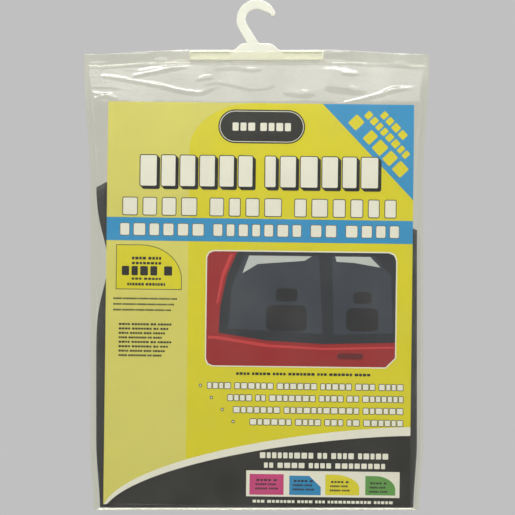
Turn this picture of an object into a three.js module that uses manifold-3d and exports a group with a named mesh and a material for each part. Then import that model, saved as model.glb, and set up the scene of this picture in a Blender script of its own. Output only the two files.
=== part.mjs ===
// A hanging retail pack of two slip-over car window shades: a moulded hanger,
// a clear film bag closed by heat welds, a printed card, and two sleeves of
// black stretch mesh that lie folded behind the card.
// Millimetres, +Z up, the card faces -Y. The origin is where a display peg
// bears, at the inside top of the hook.

import * as THREE from "three";
import { mergeVertices } from "three/addons/utils/BufferGeometryUtils.js";
import Module from "manifold-3d";

const wasm = await Module();
wasm.setup();

// Hanger
const hookRadius = 7.3; // inside the hook, round the peg
const hookWidth = 6.6; // width of the flat strip, seen from the front
const hookTipWidth = 3.6;
const hookTipAngle = 21; // degrees above the horizontal
const hookFlareAngle = 62; // degrees, where the inside edge leaves the round towards the tip
const hookFlareBulge = 0.5;
const neckAngle = 211; // degrees, where the round of the hook runs out into the neck
const neckFillet = 1.2;
const hangerThickness = 3;
const hangerRounding = 0.5;
const barLength = 92.5;
const barHeight = 6.9;
const barDrop = 28.4; // from the peg down to the top edge of the bar
const domeWidth = 34;
const domeHeight = 4.8;
const rimWidth = 1.2;
const rimDepth = 0.9; // how far the bar's faces are sunk inside their rims
const ribCount = 3; // cross ribs in each sunk face

// Shades: each sleeve is folded in half downwards, then in zigzag panels
const shadeCount = 2;
const panelCount = 4;
const panelWidth = 221;
const panelHeight = 226; // from the bottom fold to the highest point of the top edge
const panelThickness = 1.7; // four plies of mesh, pressed together
const foldGap = 0.3;
const foldRounding = 0.5;
const looseInset = 5; // how far the loose ends stop short of the folds
const topFall = 31; // the top edge follows a car window and falls to the right
const topCorner = 9;
const nextDrop = 5; // each sleeve lies a little lower than the one before it
const edgeInset = 8; // how far the left folds draw in, part of the way up
const edgeInsetSpread = 26;
const edgeInsetDrop = 58; // below the highest point of the top edge

// Card
const cardWidth = 210;
const cardHeight = 276.5;
const cardThickness = 0.5;
const cardTilt = 0.7; // degrees, its right end low
const cardShift = 1.6; // to the right of the hook
const cardLean = 2.4; // how far its free top leans back
const cardSteps = 22; // strips down the card, so that it can lean in a curve

// Bag
const filmThickness = 0.3;
const clearance = 0.3;
const sideSpace = 2.4; // from the folds of the shades to the side welds
const sideTurn = 5.4; // width over which the film turns in to a side weld
const sidePower = 2.8; // squareness of that turn: 2 is an ellipse
const bottomSpace = 2.4; // from the card down to the bottom fold
const bottomTurn = 5.6; // height over which the film turns under
const bottomPower = 4;
const headerHeight = 25.6; // film between the hem weld and the top of the card
const hemWeld = 2.6;
const edgeWeld = 2;
const weldCrease = 0.12; // half of the crevice where two films meet
const topFlare = 4; // the film is wider where it lies flat
const bottomTaper = 2.6; // how far the sides draw in at the bottom corners
const bottomTaperHeight = 48;
const hemDroop = 3; // how far the ends of the hem hang below the bar
const pocketEase = 26; // length over which the hem pocket flattens beyond the bar
const pocketPower = 4;
const ventDiameter = 5;
const ventSpacing = 120;
const ventHeight = 150; // above the bottom fold

const radians = THREE.MathUtils.degToRad;
const smooth = THREE.MathUtils.smoothstep;

// What follows from those sizes
const zigzagPitch = panelThickness + foldGap;
const shadeDepth = panelCount * zigzagPitch - foldGap;
const stackDepth = shadeCount * (shadeDepth + clearance) - clearance;
const barTop = -barDrop;
const barBottom = barTop - barHeight;
const domeTop = barTop + domeHeight;
const pocketMiddle = (barTop + barBottom) / 2;
const pocketHalfHeight = barHeight / 2 + clearance;
const pocketHalfDepth = hangerThickness / 2 + clearance;
const barEnd = barLength / 2 + clearance;
const hemTop = pocketMiddle + pocketHalfHeight + filmThickness;
const cavityTop = pocketMiddle - pocketHalfHeight - hemWeld;
const cardTop = cavityTop - headerHeight;
const cardSpan =
  cardHeight * Math.cos(radians(cardTilt)) + cardWidth * Math.sin(radians(cardTilt));
const cardBottom = cardTop - cardSpan;
const cavityBottom = cardBottom - bottomSpace;
const shadeBottom = cardBottom;
const shadeTop = shadeBottom + panelHeight;
const cardBack = stackDepth / 2 + clearance;

// A closed geometry as a solid that can be joined and cut.
function solidOf(geometry) {
  const bare = new THREE.BufferGeometry();
  bare.setAttribute("position", geometry.getAttribute("position"));
  bare.setIndex(geometry.index);
  const merged = mergeVertices(bare, 1e-4);
  return new wasm.Manifold(
    new wasm.Mesh({
      numProp: 3,
      vertProperties: merged.getAttribute("position").array,
      triVerts: new Uint32Array(merged.index.array),
    }),
  );
}

// The outline of a shape without the points where it neither turns nor moves
// on, so that its edges and its end faces share every corner.
function turningPoints(shape, curveSegments) {
  const points = shape.getPoints(curveSegments);
  const apart = points.filter((point, i) => point.distanceTo(points.at(i - 1)) > 1e-3);
  return apart.filter((point, i) => {
    const back = point.clone().sub(apart.at(i - 1)).normalize();
    const on = apart[(i + 1) % apart.length].clone().sub(point).normalize();
    return Math.abs(back.cross(on)) > 1e-4;
  });
}

// A solid as a geometry with flat shading.
function geometryOf(solid) {
  const mesh = solid.getMesh();
  const geometry = new THREE.BufferGeometry();
  geometry.setAttribute("position", new THREE.BufferAttribute(mesh.vertProperties, 3));
  geometry.setIndex(new THREE.BufferAttribute(mesh.triVerts, 1));
  const flat = geometry.toNonIndexed();
  flat.computeVertexNormals();
  return flat;
}

// A box from its lowest and highest corners.
function block(low, high) {
  const size = high.map((value, axis) => value - low[axis]);
  const middle = high.map((value, axis) => (value + low[axis]) / 2);
  return solidOf(new THREE.BoxGeometry(...size).translate(...middle));
}

// Moves every vertex of a geometry.
function bend(geometry, move) {
  const position = geometry.getAttribute("position");
  const point = new THREE.Vector3();
  for (let i = 0; i < position.count; i++) {
    move(point.fromBufferAttribute(position, i));
    position.setXYZ(i, point.x, point.y, point.z);
  }
  return geometry;
}

// A shape drawn in X and Z as a plate whose middle plane is at y = 0.
function plate(shape, thickness, rounding, curveSegments) {
  const outline = new THREE.Shape(turningPoints(shape, curveSegments));
  return new THREE.ExtrudeGeometry(outline, {
    depth: thickness - 2 * rounding,
    bevelEnabled: rounding > 0,
    bevelThickness: rounding,
    bevelSize: rounding,
    bevelOffset: -rounding,
    bevelSegments: 2,
  })
    .translate(0, 0, rounding - thickness / 2)
    .rotateX(Math.PI / 2);
}

// Hanger: hook, neck, dome and bar in one moulding. The hook is a flat strip
// round the peg, and its neck leaves the round along the tangent.
function hangerShape() {
  const centre = -hookRadius;
  const outer = hookRadius + hookWidth;
  const onArc = (radius, degrees) => [
    radius * Math.cos(radians(degrees)),
    centre + radius * Math.sin(radians(degrees)),
  ];
  const halfBar = barLength / 2;
  const halfDome = domeWidth / 2;
  const [neckX, neckZ] = onArc(hookRadius, neckAngle);
  const [outX, outZ] = onArc(outer, neckAngle);
  const [flareX, flareZ] = onArc(hookRadius, hookFlareAngle);
  const [tipInX, tipInZ] = onArc(outer - hookTipWidth, hookTipAngle);
  const [noseX, noseZ] = onArc(outer - hookTipWidth / 2, hookTipAngle);
  const rise = Math.tan(radians(neckAngle - 90));
  const footRight = neckX + (domeTop + neckFillet - neckZ) / rise;
  const footLeft = outX + (domeTop - outZ) / rise;
  const shape = new THREE.Shape();
  shape.moveTo(-halfBar, barBottom);
  shape.lineTo(halfBar, barBottom);
  shape.lineTo(halfBar, barTop);
  shape.lineTo(halfDome, barTop);
  shape.bezierCurveTo(halfDome * 0.8, barTop, halfDome * 0.75, domeTop, halfDome / 2, domeTop);
  shape.lineTo(footRight + 2 * neckFillet, domeTop);
  shape.quadraticCurveTo(footRight + neckFillet, domeTop, footRight, domeTop + neckFillet);
  shape.lineTo(neckX, neckZ);
  shape.absarc(0, centre, hookRadius, radians(neckAngle), radians(hookFlareAngle), true);
  shape.quadraticCurveTo(
    (flareX + tipInX) / 2,
    (flareZ + tipInZ) / 2 + hookFlareBulge,
    tipInX,
    tipInZ,
  );
  const tip = radians(hookTipAngle);
  shape.absarc(noseX, noseZ, hookTipWidth / 2, tip - Math.PI, tip, false);
  shape.absarc(0, centre, outer, radians(hookTipAngle), radians(neckAngle), false);
  shape.lineTo(footLeft, domeTop);
  shape.lineTo(-halfDome / 2, domeTop);
  shape.bezierCurveTo(-halfDome * 0.75, domeTop, -halfDome * 0.8, barTop, -halfDome, barTop);
  shape.lineTo(-halfBar, barTop);
  shape.closePath();
  return shape;
}

// The pockets sunk into the bar between its rims and cross ribs, on both faces.
function barPockets() {
  const inner = domeWidth / 2 + rimWidth;
  const bay = (barLength / 2 - rimWidth - inner - ribCount * rimWidth) / (ribCount + 1);
  const pockets = [];
  for (const side of [-1, 1]) {
    for (const face of [-1, 1]) {
      for (let i = 0; i <= ribCount; i++) {
        const near = side * (inner + i * (bay + rimWidth));
        const far = near + side * bay;
        const floor = face * (hangerThickness / 2 - rimDepth);
        const past = face * hangerThickness;
        pockets.push(
          block(
            [Math.min(near, far), Math.min(floor, past), barBottom + rimWidth],
            [Math.max(near, far), Math.max(floor, past), barTop - rimWidth],
          ),
        );
      }
    }
  }
  return pockets;
}

function makeHanger() {
  const moulding = solidOf(plate(hangerShape(), hangerThickness, hangerRounding, 12));
  return geometryOf(barPockets().reduce((rest, pocket) => rest.subtract(pocket), moulding));
}

// How far the sides of the pack draw in towards the bottom corners.
function taperAt(z) {
  return bottomTaper * (1 - smooth(z, cavityBottom, cavityBottom + bottomTaperHeight));
}

// The section of one folded sleeve in X and Y, its first panel at the front.
// Loose ends are at the left, the zigzag turns on half circles.
function zigzagShape(frontY) {
  const radius = zigzagPitch / 2;
  const reach = (panelWidth - zigzagPitch - panelThickness) / 2;
  const turnSteps = 5;
  const line = [];
  for (let panel = 0; panel < panelCount; panel++) {
    const way = panel % 2 ? -1 : 1;
    const y = frontY + panelThickness / 2 + panel * zigzagPitch;
    const start = panel === 0 ? looseInset - reach : -way * reach;
    const last = panel === panelCount - 1;
    const end = last ? way * (reach - looseInset) : way * reach;
    const heading = way > 0 ? 0 : Math.PI;
    line.push({ x: start, y, heading }, { x: end, y, heading });
    for (let i = 1; i < turnSteps && !last; i++) {
      const angle = (Math.PI * i) / turnSteps;
      line.push({
        x: end + way * radius * Math.sin(angle),
        y: y + radius * (1 - Math.cos(angle)),
        heading: heading + way * angle,
      });
    }
  }
  const beside = ({ x, y, heading }, turn) =>
    new THREE.Vector2(
      x + (panelThickness / 2) * Math.cos(heading + radians(turn)),
      y + (panelThickness / 2) * Math.sin(heading + radians(turn)),
    );
  return new THREE.Shape([
    ...line.map((point) => beside(point, 90)),
    ...[45, 0, -45].map((turn) => beside(line.at(-1), turn)),
    ...line.map((point) => beside(point, -90)).reverse(),
    ...[-135, 180, 135].map((turn) => beside(line[0], turn)),
  ]);
}

// What is cut away above the curved top edge.
function aboveTopEdge(top) {
  const half = panelWidth / 2;
  const high = top + topFall + topCorner;
  const shape = new THREE.Shape();
  shape.moveTo(half + topCorner, top - topFall - 2 * topCorner);
  shape.lineTo(half + topCorner, high);
  shape.lineTo(-half - topCorner, high);
  shape.lineTo(-half - topCorner, top - 2 * topCorner);
  shape.quadraticCurveTo(-half, top, -half + 2 * topCorner, top);
  shape.bezierCurveTo(-half / 3, top, half / 3, top - topFall / 2, half - topCorner, top - topFall);
  shape.quadraticCurveTo(half, top - topFall, half + topCorner, top - topFall - 2 * topCorner);
  return solidOf(plate(shape, 2 * stackDepth + 2 * panelWidth, 0, 10));
}

// One sleeve: the zigzag drawn up from its bottom fold, its sides drawn in,
// and its top edge cut to the curve.
function makeShade(order) {
  const frontY = -stackDepth / 2 + order * (shadeDepth + clearance);
  const geometry = new THREE.ExtrudeGeometry(zigzagShape(frontY), {
    depth: panelHeight - 2 * foldRounding,
    steps: 18,
    bevelEnabled: true,
    bevelThickness: foldRounding,
    bevelSize: foldRounding,
    bevelOffset: -foldRounding,
    bevelSegments: 2,
  }).translate(0, 0, shadeBottom + foldRounding);
  const half = panelWidth / 2;
  const insetZ = shadeTop - edgeInsetDrop;
  bend(geometry, (point) => {
    const inset = edgeInset * Math.exp(-(((point.z - insetZ) / edgeInsetSpread) ** 2));
    const drawn = taperAt(point.z) + (point.x < 0 ? inset : 0);
    point.x *= 1 - drawn / half;
  });
  return geometryOf(solidOf(geometry).subtract(aboveTopEdge(shadeTop - order * nextDrop)));
}

// How far the card stands in front of the middle plane: straight against the
// shades, and leaning back above them.
function cardBackAt(z) {
  return cardBack - cardLean * Math.max(0, (z - shadeTop) / (cardTop - shadeTop)) ** 1.5;
}

function makeCard() {
  const geometry = new THREE.BoxGeometry(cardWidth, cardThickness, cardHeight, 1, 1, cardSteps);
  geometry.rotateY(radians(cardTilt));
  geometry.translate(cardShift, -cardThickness / 2, cardTop - cardSpan / 2);
  bend(geometry, (point) => {
    point.y -= cardBackAt(point.z);
  });
  return geometryOf(solidOf(geometry));
}

// Half the width of the bag's inside at a height.
function cavityReach(z) {
  return panelWidth / 2 + sideSpace - taperAt(z) + topFlare * smooth(z, shadeTop, cavityTop);
}

// The share of its full depth that the bag has near its side welds and its
// bottom fold.
function turnShare(x, z) {
  const side = THREE.MathUtils.clamp(1 - (cavityReach(z) - Math.abs(x)) / sideTurn, 0, 1);
  const bottom = THREE.MathUtils.clamp(1 - (z - cavityBottom) / bottomTurn, 0, 1);
  return (1 - side ** sidePower) ** (1 / sidePower) * (1 - bottom ** bottomPower) ** (1 / bottomPower);
}

// The depth of the bag's inside in front of the middle plane, and behind it.
function frontDepth(x, z) {
  const atCard = cardBackAt(Math.min(z, cardTop)) + cardThickness + clearance;
  const fall = Math.min(1, (cavityTop - z) / headerHeight);
  return Math.max(weldCrease, atCard * fall * turnShare(x, z));
}

function backDepth(x, z) {
  const fall = Math.min(1, (cavityTop - z) / (cavityTop - shadeTop));
  return Math.max(weldCrease, cardBack * fall * turnShare(x, z));
}

// The depth of the hem pocket, an oval round the bar that flattens beyond it.
function pocketDepth(x, z) {
  const past = smooth(Math.abs(x), barEnd, barEnd + pocketEase);
  const full = THREE.MathUtils.lerp(pocketHalfDepth, 2 * filmThickness, past);
  const share = Math.min(1, Math.abs(z - pocketMiddle) / pocketHalfHeight);
  return Math.max(weldCrease, full * (1 - share ** pocketPower) ** (1 / pocketPower));
}

// A closed cushion over a grid of columns and rows, with a front and a back
// depth at each crossing. A column is a share of the inside's half width, with
// the weld beyond it.
function cushion(columns, rows, front, back) {
  const points = [];
  for (const [depth, way] of [[front, -1], [back, 1]]) {
    for (const z of rows) {
      for (const { share, beyond } of columns) {
        const x = share * cavityReach(z) + beyond;
        points.push(x, way * depth(x, z), z);
      }
    }
  }
  const width = columns.length;
  const sheet = width * rows.length;
  const index = [];
  const quad = (a, b, c, d) => index.push(a, b, c, a, c, d);
  for (let row = 0; row + 1 < rows.length; row++) {
    for (let column = 0; column + 1 < width; column++) {
      const a = row * width + column;
      quad(a, a + 1, a + 1 + width, a + width);
      quad(sheet + a, sheet + a + width, sheet + a + 1 + width, sheet + a + 1);
    }
    const left = row * width;
    const right = left + width - 1;
    quad(left, left + width, sheet + left + width, sheet + left);
    quad(right, sheet + right, sheet + right + width, right + width);
  }
  for (let column = 0; column + 1 < width; column++) {
    const low = column;
    const high = sheet - width + column;
    quad(low, sheet + low, sheet + low + 1, low + 1);
    quad(high, high + 1, sheet + high + 1, sheet + high);
  }
  const geometry = new THREE.BufferGeometry();
  geometry.setAttribute("position", new THREE.Float32BufferAttribute(points, 3));
  geometry.setIndex(index);
  return bend(geometry, (point) => {
    const past = smooth(Math.abs(point.x), barEnd, cavityReach(cavityTop));
    point.z -= hemDroop * past * smooth(point.z, cardTop, cavityTop);
  });
}

// Where a turn towards a weld has its rows or columns, as shares of its length.
const turnSteps = [0, 0.06, 0.2, 0.42, 0.7, 1];

// Evenly spaced values from one end to the other, both included.
function spread(from, to, steps) {
  return Array.from({ length: steps + 1 }, (_, i) => from + ((to - from) * i) / steps);
}

// Bag: the film's outside less the two spaces inside it, the slot in the hem
// that the hanger's dome comes through, and the vent holes.
function makeBag() {
  const reach = cavityReach(shadeTop);
  const barShare = barEnd / cavityReach(cavityTop);
  const turned = turnSteps.map((share) => 1 - (share * sideTurn) / reach).reverse();
  const half = [...spread(barShare, turned[0], 4).slice(0, -1), ...turned];
  const inside = [...half.map((share) => -share).reverse(), 0, ...half].map((share) => ({
    share,
    beyond: 0,
  }));
  const outside = [{ share: -1, beyond: -edgeWeld }, ...inside, { share: 1, beyond: edgeWeld }];
  const turnRows = turnSteps.map((share) => cavityBottom + share * bottomTurn);
  const bodyRows = [
    ...turnRows,
    ...spread(turnRows.at(-1), shadeTop, 7).slice(1),
    ...spread(shadeTop, cardTop, 3).slice(1),
    ...spread(cardTop, cavityTop, 3).slice(1),
  ];
  const ovalShares = [-1, -0.9, -0.7, -0.3, 0.3, 0.7, 0.9, 1];
  const pocketRows = ovalShares.map((share) => pocketMiddle + share * pocketHalfHeight);
  const outerDepth = (depth) => (x, z) => {
    const welded = Math.abs(x) > cavityReach(z) || z < cavityBottom || z > pocketRows.at(-1);
    return filmThickness + (welded ? 0 : (z > cavityTop ? pocketDepth : depth)(x, z));
  };
  const rows = [cavityBottom - filmThickness, ...bodyRows, ...pocketRows, hemTop];
  const film = solidOf(cushion(outside, rows, outerDepth(frontDepth), outerDepth(backDepth)));
  const body = solidOf(cushion(inside, bodyRows, frontDepth, backDepth));
  const pocket = solidOf(cushion(inside, pocketRows, pocketDepth, pocketDepth));
  const slotHalf = domeWidth / 2 + clearance;
  const slot = block([-slotHalf, -pocketHalfDepth, pocketMiddle], [slotHalf, pocketHalfDepth, domeTop]);
  let bag = film.subtract(body).subtract(pocket).subtract(slot);
  for (const side of [-1, 1]) {
    const vent = new THREE.CylinderGeometry(ventDiameter / 2, ventDiameter / 2, stackDepth, 16);
    vent.translate((side * ventSpacing) / 2, cardBack + stackDepth / 4, cavityBottom + ventHeight);
    bag = bag.subtract(solidOf(vent));
  }
  return geometryOf(bag);
}

const finishes = {
  hanger: { color: 0xefeedb, roughness: 0.45, metalness: 0 },
  film: { color: 0xd5d8c6, roughness: 0.12, metalness: 0, transparent: true, opacity: 0.3 },
  card: { color: 0xe1d728, roughness: 0.5, metalness: 0 },
  mesh: { color: 0x1d2026, roughness: 0.85, metalness: 0 },
};

function part(name, geometry, finish) {
  const mesh = new THREE.Mesh(geometry, new THREE.MeshStandardMaterial(finish));
  mesh.name = name;
  return mesh;
}

const pack = new THREE.Group();
pack.add(part("hanger", makeHanger(), finishes.hanger));
pack.add(part("film_bag", makeBag(), finishes.film));
pack.add(part("insert_card", makeCard(), finishes.card));
for (let order = 0; order < shadeCount; order++) {
  pack.add(part(`folded_shade_${order + 1}`, makeShade(order), finishes.mesh));
}

export default pack;
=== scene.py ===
"""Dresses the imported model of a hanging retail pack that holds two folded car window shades.

The hanger, clear film, printed card and folded mesh sleeves are built as fine surfaces over the
solids' places. Lengths are in millimetres inside the classes and in metres in the meshes.
"""

from __future__ import annotations

import logging
import math
from dataclasses import dataclass, field
from enum import Enum

import bmesh
import bpy
import numpy as np
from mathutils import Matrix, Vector


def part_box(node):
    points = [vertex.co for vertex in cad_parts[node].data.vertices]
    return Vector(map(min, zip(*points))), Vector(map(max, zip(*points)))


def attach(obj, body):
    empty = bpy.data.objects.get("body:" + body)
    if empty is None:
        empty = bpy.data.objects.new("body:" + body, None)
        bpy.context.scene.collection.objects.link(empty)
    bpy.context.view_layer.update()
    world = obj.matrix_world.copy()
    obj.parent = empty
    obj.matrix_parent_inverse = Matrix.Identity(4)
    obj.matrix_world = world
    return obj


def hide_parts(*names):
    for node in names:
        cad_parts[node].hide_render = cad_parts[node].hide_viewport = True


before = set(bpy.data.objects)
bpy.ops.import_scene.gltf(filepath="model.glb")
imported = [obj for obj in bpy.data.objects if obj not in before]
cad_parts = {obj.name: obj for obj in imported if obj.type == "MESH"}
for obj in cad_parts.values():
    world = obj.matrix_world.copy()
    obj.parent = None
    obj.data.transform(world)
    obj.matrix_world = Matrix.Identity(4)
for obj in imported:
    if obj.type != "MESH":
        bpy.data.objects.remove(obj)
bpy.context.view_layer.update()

MM = 0.001
BODY = "root"
# Shares of a crease's length between which it rises, and between which it falls away.
CREASE_RISE = (-0.02, 0.2)
CREASE_FALL = (0.75, 1.02)
log = logging.getLogger("pack")


def smooth(value: np.ndarray, low: float, high: float) -> np.ndarray:
    """A smooth step: 3t^2 - 2t^3 of the clamped share t of the way from low to high."""
    share = np.clip((value - low) / (high - low), 0.0, 1.0)
    return share * share * (3.0 - 2.0 * share)


def value_noise(x: np.ndarray, z: np.ndarray, size: tuple[float, float], seed: int) -> np.ndarray:
    """Smooth random relief: random heights on a lattice, joined by smooth steps.

    Args:
        x: First coordinates.
        z: Second coordinates.
        size: The lattice's cell, across and along.
        seed: Picks the relief.

    Returns:
        Heights from -1 to 1.
    """
    count = 128
    lattice = np.random.default_rng(seed).uniform(-1.0, 1.0, (count, count))
    across, along = x / size[0], z / size[1]
    left, low = np.floor(across).astype(int), np.floor(along).astype(int)
    s, t = smooth(across - left, 0.0, 1.0), smooth(along - low, 0.0, 1.0)

    def corner(right: int, up: int) -> np.ndarray:
        """The lattice's height at one corner of each point's cell."""
        return lattice[(left + right) % count, (low + up) % count]

    bottom = corner(0, 0) * (1 - s) + corner(1, 0) * s
    top = corner(0, 1) * (1 - s) + corner(1, 1) * s
    return bottom * (1 - t) + top * t


def ridged_noise(x: np.ndarray, z: np.ndarray, size: tuple[float, float], seed: int) -> np.ndarray:
    """Crinkles: (1 - |noise|)^6, which peaks at 1 along thin wandering lines."""
    return (1.0 - np.abs(value_noise(x, z, size, seed))) ** 6


def ridge(x: np.ndarray, z: np.ndarray, path: list[tuple[float, float]], width: float) -> np.ndarray:
    """A crease along a path: a bell curve of the distance to the path, fading at its ends.

    Args:
        x: Across the pack.
        z: Up the pack.
        path: The crease's points, in x and z.
        width: Half width of the bell.

    Returns:
        Heights from 0 to 1.
    """
    points = np.array(path, float)
    steps = np.diff(points, axis=0)
    lengths = np.hypot(steps[:, 0], steps[:, 1])
    starts = np.concatenate(([0.0], np.cumsum(lengths)[:-1]))
    best = np.full(x.shape, 1e9)
    along = np.zeros(x.shape)
    for point, step, length, start in zip(points, steps, lengths, starts):
        share = ((x - point[0]) * step[0] + (z - point[1]) * step[1]) / length**2
        share = np.clip(share, 0.0, 1.0)
        away = np.hypot(x - point[0] - share * step[0], z - point[1] - share * step[1])
        nearer = away < best
        best = np.where(nearer, away, best)
        along = np.where(nearer, start + share * length, along)
    total = lengths.sum()
    fade = smooth(along, CREASE_RISE[0] * total, CREASE_RISE[1] * total)
    fade = fade * (1.0 - smooth(along, CREASE_FALL[0] * total, CREASE_FALL[1] * total))
    return np.exp(-((best / width) ** 2)) * fade


def linear(colour: tuple[float, float, float]) -> tuple[float, float, float, float]:
    """A screen colour of 0 to 255 as the linear colour that shaders take."""
    scaled = np.array(colour) / 255.0
    low = scaled / 12.92
    high = ((scaled + 0.055) / 1.055) ** 2.4
    return (*(float(value) for value in np.where(scaled <= 0.04045, low, high)), 1.0)


class Value:
    """A number in a shader tree. Arithmetic on it adds Math nodes."""

    def __init__(self, shader: "Shader", socket: bpy.types.NodeSocket) -> None:
        """Wraps a socket of a shader's tree."""
        self.shader = shader
        self.socket = socket

    def math(self, operation: str, first: object, second: object = 0.0) -> "Value":
        """The result of a Math node on one value or two."""
        node = self.shader.node("ShaderNodeMath", {"operation": operation}, {0: first, 1: second})
        return Value(self.shader, node.outputs[0])

    def __add__(self, other: object) -> "Value":
        """This value plus another."""
        return self.math("ADD", self, other)

    def __radd__(self, other: object) -> "Value":
        """Another value plus this one."""
        return self.math("ADD", other, self)

    def __sub__(self, other: object) -> "Value":
        """This value less another."""
        return self.math("SUBTRACT", self, other)

    def __rsub__(self, other: object) -> "Value":
        """Another value less this one."""
        return self.math("SUBTRACT", other, self)

    def __mul__(self, other: object) -> "Value":
        """This value times another."""
        return self.math("MULTIPLY", self, other)

    def __rmul__(self, other: object) -> "Value":
        """Another value times this one."""
        return self.math("MULTIPLY", other, self)

    def power(self, exponent: float) -> "Value":
        """This value raised to a power."""
        return self.math("POWER", self, exponent)

    def sine(self) -> "Value":
        """The sine of this value."""
        return self.math("SINE", self)

    def least(self, other: object) -> "Value":
        """The lesser of this value and another."""
        return self.math("MINIMUM", self, other)

    def most(self, other: object) -> "Value":
        """The greater of this value and another."""
        return self.math("MAXIMUM", self, other)


class Shader:
    """One material and the nodes of its tree."""

    def __init__(self, name: str) -> None:
        """Makes an empty material.

        Args:
            name: The material's name.
        """
        self.material = bpy.data.materials.new(name)
        self.material.use_nodes = True
        self.tree = self.material.node_tree
        self.tree.nodes.clear()
        self.output = self.tree.nodes.new("ShaderNodeOutputMaterial")

    def node(self, kind: str, settings: dict[str, object], inputs: dict[object, object]) -> bpy.types.Node:
        """Adds a node.

        Args:
            kind: The node's type.
            settings: Its settings, set before its sockets.
            inputs: A value, a link or a Value for each named or numbered socket.

        Returns:
            The node.
        """
        node = self.tree.nodes.new(kind)
        for key, value in settings.items():
            setattr(node, key, value)
        for key, value in inputs.items():
            source = value.socket if isinstance(value, Value) else value
            if isinstance(source, bpy.types.NodeSocket):
                self.tree.links.new(source, node.inputs[key])
            else:
                node.inputs[key].default_value = source
        return node

    def place(self) -> bpy.types.NodeSocket:
        """The surface's place in Object coordinates, in metres."""
        return self.node("ShaderNodeTexCoord", {}, {}).outputs["Object"]

    def stretched(self, scale: tuple[float, float, float]) -> bpy.types.NodeSocket:
        """Object coordinates, each multiplied by its own scale."""
        node = self.node(
            "ShaderNodeVectorMath", {"operation": "MULTIPLY"}, {0: self.place(), 1: scale}
        )
        return node.outputs[0]

    def noise(self, scale: float, detail: float = 3.0, vector: object = None) -> Value:
        """A noise texture.

        Args:
            scale: Repeats in a metre.
            detail: Octaves.
            vector: Its coordinates, or None for Object coordinates.

        Returns:
            Its value, about 0.5.
        """
        where = self.place() if vector is None else vector
        inputs = {"Vector": where, "Scale": scale, "Detail": detail}
        return Value(self, self.node("ShaderNodeTexNoise", {}, inputs).outputs[0])

    def blend(self, factor: Value, first: object, second: object) -> bpy.types.NodeSocket:
        """A colour between two linear colours: a factor of 0 gives the first and 1 the second."""
        node = self.node("ShaderNodeMix", {"data_type": "RGBA"}, {0: factor, 6: first, 7: second})
        return node.outputs[2]

    def bump(self, height: Value, strength: float, distance: float) -> bpy.types.NodeSocket:
        """A normal bent by a height, where a height of 1 stands for a distance in metres."""
        inputs = {"Strength": strength, "Distance": distance, "Height": height}
        return self.node("ShaderNodeBump", {}, inputs).outputs[0]

    def principled(self, inputs: dict[str, object]) -> bpy.types.NodeSocket:
        """A Principled shader with the given sockets."""
        return self.node("ShaderNodeBsdfPrincipled", {}, inputs).outputs[0]

    def finish(self, surface: bpy.types.NodeSocket) -> bpy.types.Material:
        """Puts a shader on the surface and returns the material."""
        self.tree.links.new(surface, self.output.inputs["Surface"])
        return self.material


@dataclass(frozen=True)
class MouldedPlastic:
    """Satin ivory plastic with a faint flow of tone and a fine mould texture."""

    name: str = "ivory_plastic"
    pale: tuple[float, float, float] = (243, 243, 228)
    deep: tuple[float, float, float] = (235, 235, 216)

    def make(self) -> bpy.types.Material:
        """Returns the material."""
        shader = Shader(self.name)
        flow = shader.noise(55.0, 2.0)
        grain = shader.noise(2600.0, 2.0)
        surface = shader.principled(
            {
                "Base Color": shader.blend(flow, linear(self.deep), linear(self.pale)),
                "Roughness": flow * 0.14 + 0.28,
                "Subsurface Weight": 0.12,
                "Subsurface Radius": (0.003, 0.002, 0.001),
                "Normal": shader.bump(grain, 0.25, 0.00004),
            }
        )
        return shader.finish(surface)


@dataclass(frozen=True)
class Ink:
    """Printing ink on coated card: an even colour with a faint mottle and a satin gloss."""

    name: str
    colour: tuple[float, float, float]
    mottle: float = 0.05

    def make(self) -> bpy.types.Material:
        """Returns the material."""
        shader = Shader(self.name)
        base = linear(self.colour)
        darker = tuple(part * (1.0 - 2.0 * self.mottle) for part in base[:3]) + (1.0,)
        cloud = shader.noise(38.0, 4.0)
        fibre = shader.noise(1900.0, 2.0, shader.stretched((1.0, 1.0, 0.35)))
        surface = shader.principled(
            {
                "Base Color": shader.blend(cloud, base, darker),
                "Roughness": fibre * 0.12 + 0.34,
                "Specular IOR Level": 0.3,
                "Normal": shader.bump(fibre, 0.12, 0.00003),
            }
        )
        return shader.finish(surface)


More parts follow.
